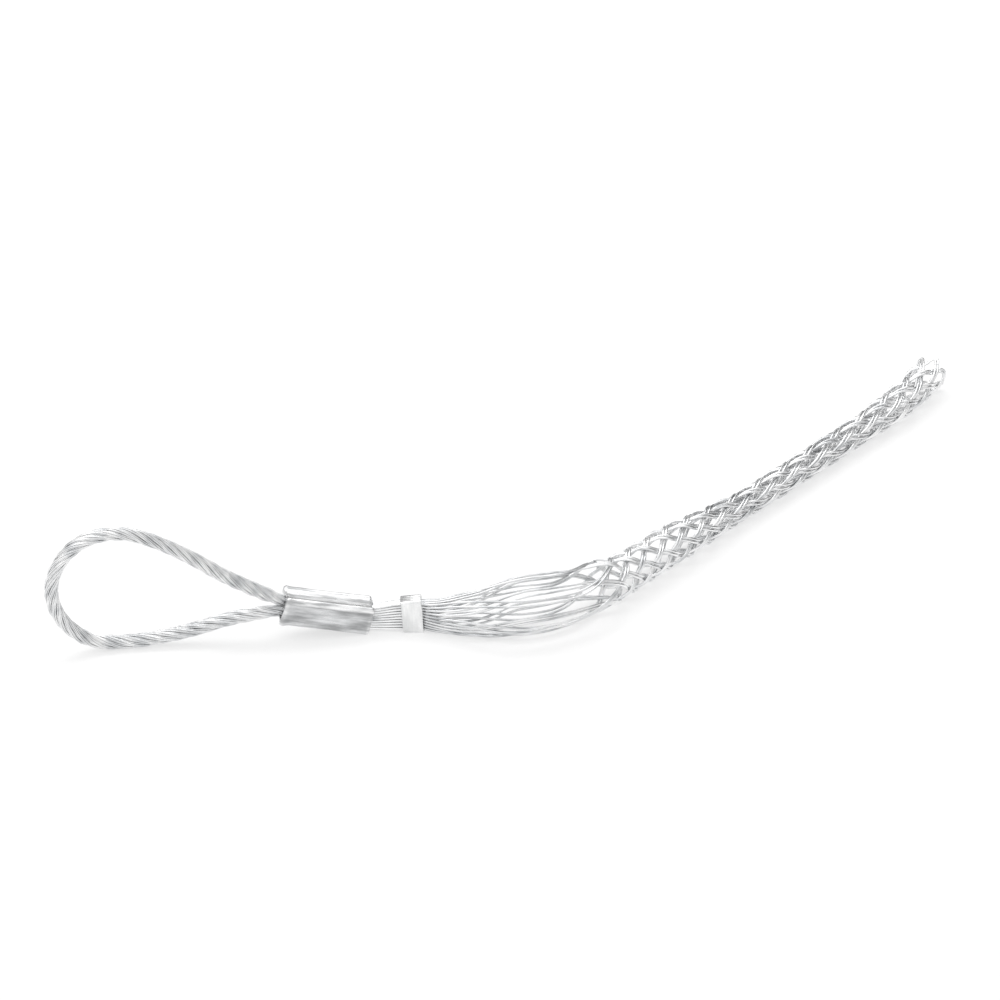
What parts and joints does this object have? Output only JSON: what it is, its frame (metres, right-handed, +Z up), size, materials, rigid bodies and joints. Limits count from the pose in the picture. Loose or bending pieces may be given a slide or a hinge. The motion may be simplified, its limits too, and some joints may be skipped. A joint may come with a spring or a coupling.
{
  "type": "cable pulling grip",
  "caption": "Open-ended braided steel wire grip with a swaged wire-rope pulling eye, lying relaxed on a table.",
  "frame": {"origin": "middle of the outer box in plan, at the table the grip lies on", "axes": "+X from the pulling eye towards the open mouth of the braid, +Y to the back, +Z up"},
  "size_m": [0.3068, 0.1764, 0.0485],
  "materials": {
    "rope_core": "drawn galvanised wire core, dull",
    "rope_strand": "bright galvanised wire rope, right-hand lay",
    "ferrule": "pressed sleeve, bright with drag marks",
    "band": "thin bright steel strip",
    "braid_wire": "drawn galvanised spring wire"
  },
  "bodies": {
    "root": {"rope_core": "rope_core", "rope_strand_1": "rope_strand", "rope_strand_2": "rope_strand", "rope_strand_3": "rope_strand", "rope_strand_4": "rope_strand", "rope_strand_5": "rope_strand", "rope_strand_6": "rope_strand", "ferrule": "ferrule", "band": "band", "wire_01": "braid_wire", "wire_02": "braid_wire", "wire_03": "braid_wire", "wire_04": "braid_wire", "wire_05": "braid_wire", "wire_06": "braid_wire", "wire_07": "braid_wire", "wire_08": "braid_wire", "wire_09": "braid_wire", "wire_10": "braid_wire", "wire_11": "braid_wire", "wire_12": "braid_wire"}
  },
  "joints": []
}
